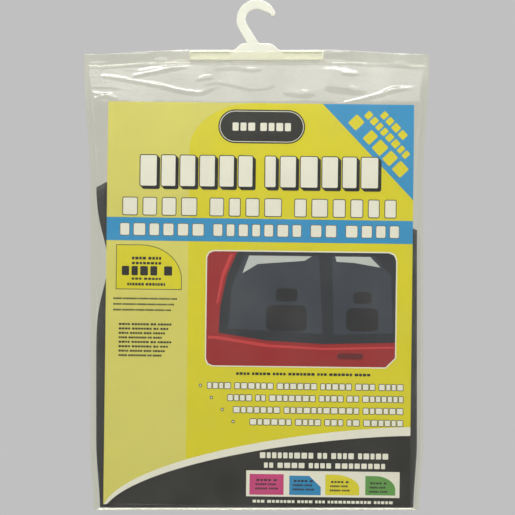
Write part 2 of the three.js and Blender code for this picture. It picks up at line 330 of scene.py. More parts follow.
@dataclass(frozen=True)
class MeshCloth:
    """Black warp-knitted stretch mesh with a stitched hem along its cut edge.

    It reads the cloth's own UV map, in millimetres: u runs along the sheet, and v is the distance
    from the cut edge.
    """

    name: str = "stretch_mesh"
    thread: tuple[float, float, float] = (40, 42, 47)
    # Colour of the knit's open cells: painted shade of the black plies that lie beneath them.
    depth: tuple[float, float, float] = (7, 8, 10)
    yarn: tuple[float, float, float] = (74, 77, 84)
    cell: float = 1.5
    hem: float = 8.0
    seam: float = 6.4
    seam_half: float = 0.5
    stitch: float = 3.0

    def make(self) -> bpy.types.Material:
        """Returns the material."""
        shader = Shader(self.name)
        uv = shader.node("ShaderNodeUVMap", {"uv_map": "cloth"}, {}).outputs[0]
        split = shader.node("ShaderNodeSeparateXYZ", {}, {0: uv})
        turns = 2.0 * math.pi / self.cell
        u, v = Value(shader, split.outputs[0]), Value(shader, split.outputs[1])
        # The weave blends from the painted shade in the open cells to the thread's own black.
        weave = ((u * turns).sine() * (v * (turns * 0.8)).sine()) * 0.5 + 0.5
        hem = ((self.hem - v) * 2.0).most(0.0).least(1.0)
        away = (v - self.seam) * (1.0 / self.seam_half)
        dash = (((u * (2.0 * math.pi / self.stitch)).sine() + 0.4) * 2.0).most(0.0).least(1.0)
        stitch = (1.0 - away * away).most(0.0) * dash
        cloud = shader.noise(16.0, 4.0)
        lint = shader.noise(420.0, 3.0, shader.stretched((1.0, 1.0, 0.3)))
        tone = weave * 0.55 + cloud * 0.3 + lint * 0.15 + hem * 0.2
        cloth = shader.blend(tone, linear(self.depth), linear(self.thread))
        height = weave * (1.0 - hem * 0.6) + hem * 0.8 + stitch
        surface = shader.principled(
            {
                "Base Color": shader.blend(stitch, cloth, linear(self.yarn)),
                "Roughness": lint * 0.2 + 0.62,
                "Sheen Weight": 0.15,
                "Sheen Roughness": 0.4,
                "Normal": shader.bump(height, 0.55, 0.0003),
            }
        )
        return shader.finish(surface)


@dataclass(frozen=True)
class ClearFilm:
    """Thin clear film: see-through, a little milky, and glossier the more it is seen at a slant.

    The glossy share is 0.04 + 0.96 * slant^5, which is the same from both sides of the film. The
    milky share is a squared noise of faint haze, and above the card, where the film hangs free, a
    painted pale veil is added to it that stands for the free film's reflections.
    """

    name: str = "clear_film"
    tint: tuple[float, float, float, float] = (0.99, 0.99, 0.955, 1.0)
    haze: float = 0.008
    # Strength of the painted pale veil: extra milky white on the film above the card, standing in for its
    # reflections.
    painted_veil: float = 0.038
    free_from: float = -0.068
    free_rise: float = 0.012
    gloss: float = 0.44

    def make(self) -> bpy.types.Material:
        """Returns the material."""
        shader = Shader(self.name)
        drawn = shader.noise(130.0, 3.0, shader.stretched((1.0, 1.0, 0.3)))
        soft = shader.noise(34.0, 2.0)
        normal = shader.bump(drawn * 0.4 + soft, 0.35, 0.0009)
        clear = shader.node("ShaderNodeBsdfTransparent", {}, {"Color": self.tint}).outputs[0]
        milk = shader.principled(
            {"Base Color": (0.95, 0.95, 0.9, 1.0), "Roughness": 0.4, "Normal": normal}
        )
        split = shader.node("ShaderNodeSeparateXYZ", {}, {0: shader.place()})
        height = Value(shader, split.outputs[2])
        # Mask of the painted pale veil, which rises above the card's top. Below it only the faint haze
        # stays.
        free = ((height - self.free_from) * (1.0 / self.free_rise)).most(0.0).least(1.0)
        cloudy = (shader.noise(42.0, 4.0) * 2.0).power(2.0)
        haze_and_painted_veil = cloudy * (free * self.painted_veil + self.haze)
        veil = shader.node("ShaderNodeMixShader", {}, {0: haze_and_painted_veil, 1: clear, 2: milk}).outputs[0]
        shine = shader.node(
            "ShaderNodeBsdfGlossy",
            {},
            {"Color": (1.0, 1.0, 1.0, 1.0), "Roughness": 0.11, "Normal": normal},
        ).outputs[0]
        weight = shader.node("ShaderNodeLayerWeight", {}, {"Normal": normal})
        slant = Value(shader, weight.outputs["Facing"])
        share = (slant.power(5.0) * 0.96 + 0.04) * self.gloss
        surface = shader.node("ShaderNodeMixShader", {}, {0: share, 1: veil, 2: shine}).outputs[0]
        return shader.finish(surface)


@dataclass(frozen=True)
class Ground:
    """The plain pale floor."""

    name: str = "floor_paint"
    colour: tuple[float, float, float] = (214, 214, 212)

    def make(self) -> bpy.types.Material:
        """Returns the material."""
        shader = Shader(self.name)
        cloud = shader.noise(3.0, 2.0)
        base = linear(self.colour)
        dim = tuple(part * 0.96 for part in base[:3]) + (1.0,)
        surface = shader.principled({"Base Color": shader.blend(cloud, base, dim), "Roughness": 0.7})
        return shader.finish(surface)


def add_mesh(name: str, points: np.ndarray, faces: list | np.ndarray) -> bpy.types.Object:
    """Makes a mesh object.

    Args:
        name: The piece's name.
        points: Rows of x, y and z, in millimetres.
        faces: Corner numbers of each face.

    Returns:
        The object, at the origin.
    """
    mesh = bpy.data.meshes.new(name)
    corners = faces.tolist() if isinstance(faces, np.ndarray) else faces
    mesh.from_pydata((points * MM).tolist(), [], corners)
    mesh.validate()
    piece = bpy.data.objects.new(name, mesh)
    bpy.context.scene.collection.objects.link(piece)
    return piece


def soften(piece: bpy.types.Object, angle: float = 180.0) -> None:
    """Shades a piece smooth, apart from edges sharper than an angle in degrees."""
    mesh = piece.data
    mesh.polygons.foreach_set("use_smooth", np.ones(len(mesh.polygons), bool))
    if angle < 180.0:
        mesh.set_sharp_from_angle(angle=math.radians(angle))


def thicken(piece: bpy.types.Object, name: str, thickness: float) -> None:
    """Gives a sheet its thickness in millimetres, half of it to each side."""
    wall = piece.modifiers.new(name, "SOLIDIFY")
    wall.thickness = thickness * MM
    wall.offset = 0.0


def dress(piece: bpy.types.Object, material: bpy.types.Material) -> None:
    """Gives a piece its material and the body that it rides on.

    Args:
        piece: The piece.
        material: Its material.
    """
    piece.data.materials.clear()
    piece.data.materials.append(material)
    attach(piece, BODY)
    log.info("%s: %d faces", piece.name, len(piece.data.polygons))


def grid_faces(rows: int, columns: int, looped: bool = False) -> np.ndarray:
    """The quads of a grid of points.

    Args:
        rows: Rows of points.
        columns: Points in a row.
        looped: Whether the last row joins the first.

    Returns:
        Four corner numbers for each quad.
    """
    row = np.arange(rows if looped else rows - 1)[:, None]
    column = np.arange(columns - 1)[None, :]
    a = row * columns + column
    above = ((row + 1) % rows) * columns + column
    return np.stack((a, a + 1, above + 1, above), axis=-1).reshape(-1, 4)


def box_mm(node: str) -> tuple[np.ndarray, np.ndarray]:
    """The lowest and highest corners of a solid, in millimetres."""
    low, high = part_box(node)
    return np.array(low) / MM, np.array(high) / MM


@dataclass(frozen=True)
class PackForm:
    """The form that the film takes round the card and the shades, worked out from the solids."""

    panel_width: float = 221.0
    side_space: float = 2.4
    side_turn: float = 5.4
    side_power: float = 2.8
    bottom_space: float = 2.4
    bottom_turn: float = 5.6
    bottom_power: float = 4.0
    header_height: float = 25.6
    edge_weld: float = 2.0
    top_flare: float = 4.0
    taper: float = 2.6
    taper_height: float = 48.0
    droop: float = 3.0
    pocket_ease: float = 26.0
    pocket_power: float = 4.0
    film: float = 0.3
    clearance: float = 0.3
    card: tuple[np.ndarray, np.ndarray] = field(default_factory=lambda: box_mm("insert_card"))
    shade: tuple[np.ndarray, np.ndarray] = field(default_factory=lambda: box_mm("folded_shade_1"))
    bar: tuple[np.ndarray, np.ndarray] = field(default_factory=lambda: box_mm("hanger"))

    @property
    def shade_top(self) -> float:
        """Height of the shades' top edge."""
        return self.shade[1][2]

    @property
    def card_top(self) -> float:
        """Height of the card's top corner."""
        return self.card[1][2]

    @property
    def cavity_top(self) -> float:
        """Height of the hem weld's lower edge."""
        return self.card_top + self.header_height

    @property
    def cavity_bottom(self) -> float:
        """Height of the bottom fold."""
        return self.card[0][2] - self.bottom_space

    @property
    def bar_end(self) -> float:
        """Where the hem pocket starts to flatten beyond the bar."""
        return self.bar[1][0] + self.clearance

    @property
    def pocket_half(self) -> float:
        """Half the height of the hem pocket."""
        return (self.bar_top - self.bar[0][2]) / 2 + self.clearance

    @property
    def bar_top(self) -> float:
        """Height of the bar's top edge, under the hem's fold."""
        return box_mm("film_bag")[1][2] - self.film - self.clearance

    @property
    def pocket_middle(self) -> float:
        """Height of the hem pocket's middle."""
        return (self.bar_top + self.bar[0][2]) / 2

    @property
    def stack_half(self) -> float:
        """Half the depth of the two shades."""
        return -self.shade[0][1]

    @property
    def card_back(self) -> float:
        """Depth of the card's back, in front of the middle plane."""
        return self.stack_half + self.clearance

    @property
    def card_sheet(self) -> float:
        """Thickness of the solid card."""
        return -self.card[0][1] - self.card_back

    @property
    def card_lean(self) -> float:
        """How far the card's top leans back."""
        return self.card[1][1] + self.card_back

    def card_back_at(self, z: np.ndarray) -> np.ndarray:
        """Depth of the card's back at a height: even beside the shades, and leaning above them."""
        rise = np.clip((z - self.shade_top) / (self.card_top - self.shade_top), 0.0, 1.0)
        return self.card_back - self.card_lean * rise**1.5

    def taper_at(self, z: np.ndarray) -> np.ndarray:
        """How far the sides draw in near the bottom corners."""
        return self.taper * (1.0 - smooth(z, self.cavity_bottom, self.cavity_bottom + self.taper_height))

    def reach(self, z: np.ndarray) -> np.ndarray:
        """Half the width of the inside at a height."""
        flare = self.top_flare * smooth(z, self.shade_top, self.cavity_top)
        return self.panel_width / 2 + self.side_space - self.taper_at(z) + flare

    def turn(self, x: np.ndarray, z: np.ndarray) -> np.ndarray:
        """The share of its full depth that the film has near its welds and bottom fold."""
        side = np.clip(1.0 - (self.reach(z) - np.abs(x)) / self.side_turn, 0.0, 1.0)
        bottom = np.clip(1.0 - (z - self.cavity_bottom) / self.bottom_turn, 0.0, 1.0)
        across = (1.0 - side**self.side_power) ** (1.0 / self.side_power)
        return across * (1.0 - bottom**self.bottom_power) ** (1.0 / self.bottom_power)

    def front(self, x: np.ndarray, z: np.ndarray) -> np.ndarray:
        """Depth of the film in front of the middle plane."""
        at_card = self.card_back_at(np.minimum(z, self.card_top)) + self.card_sheet + self.clearance
        fall = np.clip((self.cavity_top - z) / self.header_height, 0.0, 1.0)
        return at_card * fall * self.turn(x, z)

    def back(self, x: np.ndarray, z: np.ndarray) -> np.ndarray:
        """Depth of the film behind the middle plane."""
        fall = np.clip((self.cavity_top - z) / (self.cavity_top - self.shade_top), 0.0, 1.0)
        return self.card_back * fall * self.turn(x, z)

    def pocket(self, x: np.ndarray, share: np.ndarray) -> np.ndarray:
        """Depth of the hem pocket at a share of its half height: an oval that flattens past the bar."""
        past = smooth(np.abs(x), self.bar_end, self.bar_end + self.pocket_ease)
        full = (self.bar[1][1] + self.clearance) * (1.0 - past) + 2.0 * self.film * past
        return full * (1.0 - np.abs(share) ** self.pocket_power) ** (1.0 / self.pocket_power)

    def hang(self, x: np.ndarray, z: np.ndarray) -> np.ndarray:
        """How far the film hangs below its drawn height, towards the ends of the hem."""
        past = smooth(np.abs(x), self.bar_end, float(self.reach(np.array(self.cavity_top))))
        return self.droop * past * smooth(z, self.card_top, self.cavity_top)


@dataclass
class Hanger:
    """The moulded hanger: the solid's own form with its corners merged and its rounds shaded smooth."""

    node: str = "hanger"
    sharp_angle: float = 40.0

    def build(self) -> None:
        """Makes the moulding and puts it in the solid's place."""
        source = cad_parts[self.node].data
        raw = np.empty(len(source.vertices) * 3, np.float32)
        source.vertices.foreach_get("co", raw)
        corners = np.empty(len(source.loops), np.int32)
        source.loops.foreach_get("vertex_index", corners)
        places = np.round(raw.reshape(-1, 3).astype(float) / MM, 3)
        points, which = np.unique(places, axis=0, return_inverse=True)
        piece = add_mesh("hanger_moulding", points, which.reshape(-1)[corners].reshape(-1, 3))
        soften(piece, self.sharp_angle)
        even = piece.modifiers.new("even", "WEIGHTED_NORMAL")
        even.keep_sharp = True
        dress(piece, MouldedPlastic().make())
        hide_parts(self.node)


class Face(Enum):
    """The two faces of the card."""

    FRONT = -1
    BACK = 1


@dataclass
class Card:
    """The stiff card, a little turned. Places on it are u to the right and v down from its corner."""

    form: PackForm
    width: float = 210.0
    height: float = 276.5
    tilt: float = 0.7
    sheet: float = 0.32
    bow: float = 0.1
    bow_cell: tuple[float, float] = (70.0, 90.0)
    bow_seed: int = 5
    columns: int = 43
    rows: int = 57
    stock: tuple[float, float, float] = (226, 215, 24)
    reverse: tuple[float, float, float] = (226, 224, 214)

    def place(self, u: np.ndarray, v: np.ndarray, out: float, face: Face) -> np.ndarray:
        """Points on the card.

        Args:
            u: Distances from its left edge.
            v: Distances from its top edge.
            out: How far the points stand out from the face.
            face: Which face.

        Returns:
            Rows of x, y and z, in millimetres.
        """
        form = self.form
        way = math.radians(self.tilt)
        centre = (form.card[0] + form.card[1]) / 2
        right, up = u - self.width / 2, self.height / 2 - v
        x = centre[0] + right * math.cos(way) + up * math.sin(way)
        z = centre[2] + up * math.cos(way) - right * math.sin(way)
        middle = form.card_back_at(z) + form.card_sheet / 2
        middle = middle + self.bow * value_noise(x, z, self.bow_cell, self.bow_seed)
        y = -middle + face.value * (self.sheet / 2 + out)
        return np.stack(np.broadcast_arrays(x, y, z), axis=-1)

    def build(self) -> None:
        """Makes the card: front and back sheets that meet at a cut edge."""
        columns, rows = self.columns, self.rows
        u, v = np.meshgrid(np.linspace(0, self.width, columns), np.linspace(0, self.height, rows))
        front = self.place(u, v, 0.0, Face.FRONT).reshape(-1, 3)
        back = self.place(u, v, 0.0, Face.BACK).reshape(-1, 3)
        sheet = grid_faces(rows, columns)
        count = rows * columns
        ring = np.concatenate(
            (
                np.arange(columns),
                np.arange(1, rows) * columns + columns - 1,
                (rows - 1) * columns + np.arange(columns - 2, -1, -1),
                np.arange(rows - 2, 0, -1) * columns,
            )
        )
        after = np.roll(ring, -1)
        edge = np.stack((ring, after, after + count, ring + count), axis=-1)
        faces = np.concatenate((sheet[:, ::-1], sheet + count, edge))
        piece = add_mesh("card_sheet", np.concatenate((front, back)), faces)
        soften(piece, 40.0)
        dress(piece, Ink("card_yellow", self.stock).make())
        piece.data.materials.append(Ink("card_reverse", self.reverse, 0.03).make())
        slots = np.zeros(len(piece.data.polygons), np.int32)
        slots[len(sheet):] = 1
        piece.data.polygons.foreach_set("material_index", slots)
        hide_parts("insert_card")


@dataclass
class Print:
    """One ink on the card: flat shapes a hair above the face, at the height of their layer."""

    card: Card
    name: str
    ink: tuple[float, float, float]
    layer: int
    face: Face = Face.FRONT
    lift: float = 0.022
    strip: float = 7.0
    least_edge: float = 1e-4
    block_widths: tuple[float, float] = (0.72, 1.18)
    word_space: float = 0.55
    corner_share: float = 0.12
    corner_most: float = 0.9
    shapes: list[np.ndarray] = field(default_factory=list)

    def outline(self, points: list[tuple[float, float]] | np.ndarray) -> "Print":
        """Adds a shape from the points of its outline."""
        self.shapes.append(np.asarray(points, float))
        return self

    def pill(
        self,
        middle: tuple[float, float],
        size: tuple[float, float],
        radius: float = 0.0,
        angle: float = 0.0,
    ) -> "Print":
        """Adds a rectangle with rounded corners.

        Args:
            middle: Its middle, in u and v.
            size: Its width and height.
            radius: Its corner radius.
            angle: Degrees that it is turned, clockwise on the card.

        Returns:
            This ink.
        """
        half = np.array(size) / 2
        radius = min(radius, half.min())
        steps = 1 if radius < 0.05 else (3 if radius < 1.0 else 8)
        turns = np.radians(np.linspace(0, 90, steps + 1)) if steps > 1 else np.array([math.pi / 4])
        corners = []
        for quarter, (right, down) in enumerate(((1, 1), (-1, 1), (-1, -1), (1, -1))):
            swing = turns + quarter * math.pi / 2
            centre = np.array([right, down]) * (half - radius)
            reach = radius if steps > 1 else radius * math.sqrt(2)
            corners.append(centre + reach * np.stack((np.cos(swing), np.sin(swing)), axis=-1))
        local = np.concatenate(corners)
        way = math.radians(angle)
        turned = np.stack(
            (
                local[:, 0] * math.cos(way) - local[:, 1] * math.sin(way),
                local[:, 0] * math.sin(way) + local[:, 1] * math.cos(way),
            ),
            axis=-1,
        )
        return self.outline(turned + np.array(middle))

    def blocks(
        self,
        middle: tuple[float, float],
        length: float,
        height: float,
        words: tuple[int, ...],
        angle: float = 0.0,
        grow: float = 0.0,
        shift: tuple[float, float] = (0.0, 0.0),
        gap: float = 0.3,
    ) -> "Print":
        """Adds a line of plain blocks that fills the place of a line of print.

        Args:
            middle: The line's middle, in u and v.
            length: The line's length.
            height: The blocks' height.
            words: How many blocks each group has.
            angle: Degrees that the line is turned.
            grow: How far each block is widened all round, for an outline or a shadow.
            shift: How far the line is moved.
            gap: The space between blocks, as a share of a block's width.

        Returns:
            This ink.
        """
        seed = len(words) * 31 + sum(words)
        widths = np.random.default_rng(seed).uniform(*self.block_widths, sum(words))
        radius = min(self.corner_share * height, self.corner_most) + grow
        space = gap + self.word_space
        total = widths.sum() + gap * (sum(words) - len(words)) + space * (len(words) - 1)
        unit = length / total
        start, taken = -length / 2, 0
        way = math.radians(angle)
        for count in words:
            for width in widths[taken:taken + count]:
                centre = start + unit * width / 2
                place = (
                    middle[0] + shift[0] + centre * math.cos(way),
                    middle[1] + shift[1] + centre * math.sin(way),
                )
                size = (unit * width + 2 * grow, height + 2 * grow)
                self.pill(place, size, radius, angle)
                start += unit * (width + gap)
            start += unit * (space - gap)
            taken += count
        return self

    def build(self) -> None:
        """Makes the shapes one mesh, cut into strips where the card curves, and lays it on the card."""
        body = bmesh.new()
        for shape in self.shapes:
            low, high = (0.0, 0.0), (self.card.width, self.card.height)
            inside = np.clip(shape, low, high)
            kept = inside[np.hypot(*(inside - np.roll(inside, 1, axis=0)).T) > self.least_edge]
            if len(kept) > 2:
                body.faces.new([body.verts.new((u, v, 0.0)) for u, v in kept])
        body.normal_update()
        bmesh.ops.triangulate(body, faces=body.faces, ngon_method="EAR_CLIP")
        for axis, most in ((0, self.card.width), (1, self.card.height)):
            for cut in np.arange(self.strip, most, self.strip):
                normal, point = [0.0, 0.0, 0.0], [0.0, 0.0, 0.0]
                normal[axis], point[axis] = 1.0, float(cut)
                parts = body.verts[:] + body.edges[:] + body.faces[:]
                bmesh.ops.bisect_plane(body, geom=parts, plane_co=point, plane_no=normal, dist=1e-5)
        body.verts.index_update()
        flat = np.array([vertex.co[:2] for vertex in body.verts])
        faces = [[vertex.index for vertex in face.verts] for face in body.faces]
        body.free()
        out = self.lift * (self.layer + 1)
        points = self.card.place(flat[:, 0], flat[:, 1], out, self.face)
        piece = add_mesh(self.name, points, faces)
        self.turn_out(piece)
        soften(piece)
        dress(piece, Ink(self.name + "_ink", self.ink).make())

    def turn_out(self, piece: bpy.types.Object) -> None:
        """Turns faces that point into the card outwards."""
        body = bmesh.new()
        body.from_mesh(piece.data)
        wrong = [face for face in body.faces if face.normal.y * self.face.value < 0]
        bmesh.ops.reverse_faces(body, faces=wrong)
        body.to_mesh(piece.data)
        body.free()


@dataclass
class Artwork:
    """The print on both faces of the card: fields of colour and plain blocks, and no lettering."""

    card: Card
    pale: tuple[float, float, float] = (223, 216, 112)
    yellow: tuple[float, float, float] = (226, 215, 24)
    blue: tuple[float, float, float] = (46, 150, 212)
    black: tuple[float, float, float] = (22, 21, 20)
    white: tuple[float, float, float] = (242, 240, 232)
    grey: tuple[float, float, float] = (92, 88, 52)
    column: float = 56.2
    corner_side: tuple[float, float] = (62.8, 65.5)
    badge: tuple[float, float] = (105.5, 16.2)
    stripe_high: tuple[float, float] = (279.0, 221.2)
    stripe_low: tuple[float, float] = (282.0, 227.2)

    def sweep(self, ends: tuple[float, float], steps: int = 60) -> np.ndarray:
        """The long curve over the foot of the card, from its left edge to its right edge.

        Args:
            ends: Its v at the left and at the right.
            steps: How many steps it has.

        Returns:
            Rows of u and v. v falls as (1 - s^0.6)^1.45 of the share s across the card.
        """
        share = np.linspace(0.0, 1.0, steps + 1) ** 1.6
        v = ends[1] + (ends[0] - ends[1]) * (1.0 - share**0.6) ** 1.45
        return np.stack((share * self.card.width, v), axis=-1)

    def arc(
        self, middle: tuple[float, float], radii: tuple[float, float], start: float, end: float
    ) -> np.ndarray:
        """Points of an ellipse's arc, with v down.

        Args:
            middle: The ellipse's middle.
            radii: Its radii in u and v.
            start: The first angle, in degrees.
            end: The last angle.

        Returns:
            Rows of u and v.
        """
        swing = np.radians(np.linspace(start, end, 25))
        return np.array(middle) + np.array(radii) * np.stack((np.cos(swing), np.sin(swing)), axis=-1)

    def print(self, name: str, ink: tuple[float, float, float], layer: int) -> Print:
        """A new ink on the front."""
        return Print(self.card, name, ink, layer)

    def fields(self) -> None:
        """The large fields: the pale column with its curved shoulder, the blue band and corner."""
        card = self.card
        shoulder = self.arc((102.2, 32.0), (102.2 - self.column, 32.0), 180, 270)
        pale = self.print("print_pale_field", self.pale, 0)
        foot = card.height
        pale.outline([(0, 0), *shoulder[::-1], (self.column, foot), (0, foot)]).build()
        blue = self.print("print_blue_fields", self.blue, 1)
        blue.outline([(0, 79.4), (210, 79.8), (210, 95.6), (0, 95.4)])
        across, down = self.corner_side
        blue.outline([(card.width - across, 0), (card.width, 0), (card.width, down)]).build()
        black = self.print("print_black_foot", self.black, 1)
        low = self.sweep(self.stripe_low)
        black.outline([*low, (card.width, foot), (0, foot)]).build()
        high = self.sweep(self.stripe_high)
        white = self.print("print_white_sweep", self.white, 2)
        white.outline(np.concatenate((high, low[::-1]))).build()

    def headline(self) -> None:
        """Two lines of pale blocks with dark shadows, the badge and the line in the blue band."""
        shadow = self.print("print_dark_blocks", self.black, 3)
        white = self.print("print_white_blocks", self.white, 4)
        outline = self.print("print_grey_outlines", self.grey, 3)
        title, tight, wide = ((104.2, 47.2), 163.0, 21.0, (6, 6)), 0.34, 0.46
        for shift in ((1.7, 1.7), (0.8, 0.8), (0.0, 0.0)):
            shadow.blocks(*title, grow=0.6, shift=shift, gap=tight)
        white.blocks(*title, gap=tight)
        for line, grow in (
            (((104.6, 71.8), 187.0, 11.6, (4, 4, 6)), 0.6),
            (((104.9, 87.6), 191.0, 8.0, (6, 7, 2, 4)), 0.4),
        ):
            outline.blocks(*line, grow=grow, gap=wide)
            white.blocks(*line, gap=wide)
        shadow.pill(self.badge, (59.6, 23.2), 11.6)
        white.pill(self.badge, (57.8, 21.4), 10.7)
        shadow.build()
        outline.build()
        white.build()
        heart = self.print("print_badge_heart", self.black, 5)
        heart.pill(self.badge, (56.9, 20.5), 10.25).build()
        bar = self.print("print_badge_bar", self.white, 6)
        bar.blocks((105.5, 16.4), 40.0, 5.6, (3, 4)).build()

    def corner(self) -> None:
        """Yellow blocks along the blue corner's long side."""
        yellow = self.print("print_corner_blocks", self.yellow, 3)
        along = np.array(self.corner_side) / math.hypot(*self.corner_side)
        inward = np.array([along[1], -along[0]])
        angle = math.degrees(math.atan2(along[1], along[0]))
        middle = np.array([178.6, 32.7])
        for out, slide, length, height, words in (
            (8.0, 2.0, 52.0, 8.6, (1, 4)),
            (17.6, 0.5, 41.0, 5.2, (8,)),
            (25.4, -1.0, 23.0, 5.0, (4,)),
        ):
            spot = middle + inward * out + along * slide
            yellow.blocks(tuple(spot), length, height, words, angle=angle)
        yellow.build()

    def tag(self) -> None:
        """The tag in the pale column, with a rounded shoulder, and the fine print below it."""
        curve = self.arc((24.0, 122.0), (28.0, 23.8), 270, 360)
        line = self.print("print_tag_line", self.grey, 2)
        line.outline([(6.7, 129.0), (6.7, 98.2), *curve, (52.0, 129.0)]).build()
        fill = self.print("print_tag_fill", self.yellow, 3)
        inner = self.arc((24.0, 122.0), (27.5, 23.3), 270, 360)
        fill.outline([(7.2, 128.5), (7.2, 98.7), *inner, (51.5, 128.5)]).build()
        dark = self.print("print_fine_dark", self.black, 5)
        dark.blocks((27.6, 107.5), 20.0, 1.9, (4, 4))
        dark.blocks((27.6, 110.9), 20.0, 1.7, (8,))
        dark.blocks((28.0, 116.1), 34.5, 6.4, (4, 1))
        dark.blocks((27.6, 121.6), 20.0, 1.5, (3, 5))
        dark.blocks((27.6, 125.4), 26.0, 1.8, (6, 7))
        for row in range(3):
            dark.blocks((27.0 - row, 135.2 + 3.9 * row), 43.5 - 2 * row, 1.15, (4, 7, 5, 4, 6, 3))
        for row in range(8):
            words = ((4, 6, 2, 5), (4, 7, 2, 3), (4, 5, 3, 5), (4, 8, 2, 4))[row % 4]
            length = 36.0 - 2.2 * ((row * 5) % 4)
            dark.blocks((9.2 + length / 2, 152.8 + 3.05 * row), length, 1.35, words)
        dark.blocks((136.0, 185.8), 92.0, 1.7, (4, 5, 4, 7, 3, 6, 4))
        dark.build()

    def picture(self) -> None:
        """A plain view of a shaded side window, in dark glass, red and pale grey."""
        frame_line = self.print("print_picture_frame", self.white, 2)
        left_edge, top_edge, right_edge, foot_edge = 68.4, 101.3, 199.6, 181.2
        cut, round_ = 7.0, 5.0

        def window(inset: float) -> list[tuple[float, float]]:
            """The picture's outline, drawn in by an inset."""
            left, top = left_edge + inset, top_edge + inset
            far, foot = right_edge - inset, foot_edge - inset
            return [
                (left, top + round_), (left + 0.3 * round_, top + 0.3 * round_), (left + round_, top),
                (far - round_, top), (far - 0.3 * round_, top + 0.3 * round_), (far, top + round_),
                (far, foot - cut), (far - cut, foot),
                (left + round_, foot), (left + 0.3 * round_, foot - 0.3 * round_), (left, foot - round_),
            ]

        frame_line.outline(window(0.0)).build()
        night = self.print("print_picture_glass", (30, 34, 46), 3)
        night.outline(window(0.8)).build()
        red = self.print("print_picture_red", (158, 26, 34), 4)
        red.outline(
            [(69.2, 106.5), (70.6, 103.6), (73.6, 102.1), (90.0, 102.1), (83.0, 118.0), (78.5, 140.0),
             (77.6, 158.0), (110.0, 163.0), (150.0, 165.0), (198.8, 163.5), (198.8, 173.9),
             (192.3, 180.4), (73.6, 180.4), (70.6, 178.9), (69.2, 175.9)]
        ).build()
        sheen = self.print("print_picture_sheen", (206, 58, 64), 5)
        sheen.outline(
            [(70.5, 160.0), (78.0, 160.4), (112.0, 165.6), (150.0, 167.6), (198.0, 166.2),
             (198.0, 167.4), (150.0, 169.0), (110.0, 167.4), (77.0, 162.4), (70.5, 162.0)]
        )
        sheen.outline(
            [(84.6, 104.0), (87.4, 104.0), (81.0, 119.0), (77.0, 138.0), (75.8, 138.0), (79.0, 118.0)]
        ).build()
        handle = self.print("print_picture_handle", (96, 14, 22), 5)
        handle.pill((168.0, 173.2), (18.0, 4.2), 2.1).build()
        mesh = self.print("print_picture_mesh", (50, 57, 72), 4)
        mesh.outline([(95.0, 104.5), (146.0, 104.5), (149.0, 158.0), (84.0, 155.0), (86.5, 126.0)])
        mesh.outline(
            [(155.0, 104.5), (184.0, 104.5), (195.5, 118.0), (197.0, 157.0), (156.5, 158.5)]
        ).build()
        seat = self.print("print_picture_seat", (20, 22, 30), 5)
        seat.pill((124.0, 131.5), (15.0, 9.0), 3.0).pill((124.0, 147.5), (28.0, 18.0), 4.5)
        seat.pill((176.0, 133.0), (12.5, 8.0), 2.6).pill((176.0, 148.0), (22.0, 16.0), 4.0).build()
        sky = self.print("print_picture_sky", (198, 203, 206), 5)
        sky.outline([(98.0, 104.8), (141.0, 104.8), (136.0, 108.0), (104.0, 110.5), (93.5, 117.0)])
        sky.outline(
            [(157.0, 104.8), (181.0, 104.8), (188.0, 112.0), (170.0, 109.0), (158.0, 108.4)]
        ).build()

    def bullets(self) -> None:
        """Four lines of outlined pale blocks, each with its bullet, set to the right."""
        outline = self.print("print_bullet_outlines", self.black, 2)
        white = self.print("print_bullet_blocks", self.white, 3)
        rows = (
            (194.2, 65.6, 70.5, (4, 6, 6, 5, 3, 4)),
            (202.4, 73.2, 84.5, (4, 2, 7, 4, 2, 7)),
            (210.6, 80.7, 88.5, (7, 11, 6)),
            (218.8, 88.3, 100.0, (6, 4, 3, 2, 6)),
        )
        far = 204.6
        for v, dot, start, words in rows:
            middle, length = ((start + far) / 2, v), far - start
            outline.blocks(middle, length, 3.9, words, grow=0.42)
            white.blocks(middle, length, 3.9, words)
            outline.pill((dot, v), (2.3, 2.3), 1.15)
            white.pill((dot, v), (1.3, 1.3), 0.65)
        outline.build()
        white.build()

    def foot(self) -> None:
        """Lines of blocks on the black foot and the framed strip with its four coloured fields."""
        pale = self.print("print_foot_blocks", self.white, 2)
        pale.blocks((151.0, 241.6), 88.0, 4.0, (9, 2, 4, 5))
        pale.blocks((151.4, 248.4), 83.0, 3.6, (2, 4, 4, 8))
        pale.blocks((150.4, 273.2), 96.0, 1.9, (3, 7, 4, 3, 11, 5))
        pale.pill((150.4, 261.0), (105.2, 17.8)).build()
        magenta = self.print("print_foot_magenta", (206, 62, 132), 4)
        magenta.pill((111.8, 261.6), (23.4, 14.2)).build()
        blue = self.print("print_foot_blue", (40, 140, 200), 4)
        blue.outline(
            [(127.4, 268.6), (127.4, 255.4), (141.0, 255.4), (149.0, 263.0), (149.0, 268.6)]
        ).build()
        yellow = self.print("print_foot_yellow", (228, 216, 40), 4)
        quarter = self.arc((158.0, 264.0), (17.4, 9.6), 270, 360)
        yellow.outline([(152.1, 268.4), (152.1, 254.4), *quarter, (175.4, 268.4)]).build()
        green = self.print("print_foot_green", (96, 158, 74), 4)
        quarter = self.arc((186.0, 264.4), (14.1, 9.4), 270, 360)
        green.outline([(179.5, 268.2), (179.5, 255.0), *quarter, (200.1, 268.2)]).build()
        dark = self.print("print_foot_dark", (34, 26, 30), 5)
        for middle, length, words in (
            ((111.8, 258.6), 14.0, (4, 1)),
            ((137.0, 259.0), 13.0, (4, 1)),
            ((162.0, 259.4), 12.0, (4, 1)),
            ((188.4, 260.0), 11.0, (4, 1)),
        ):
            for row in range(3):
                spot = (middle[0] - 0.6 * row * (row % 2), middle[1] + 2.9 * row)
                dark.blocks(spot, length + 1.5 * (row == 2), 1.3, words if row == 0 else (5, 4))
        dark.build()

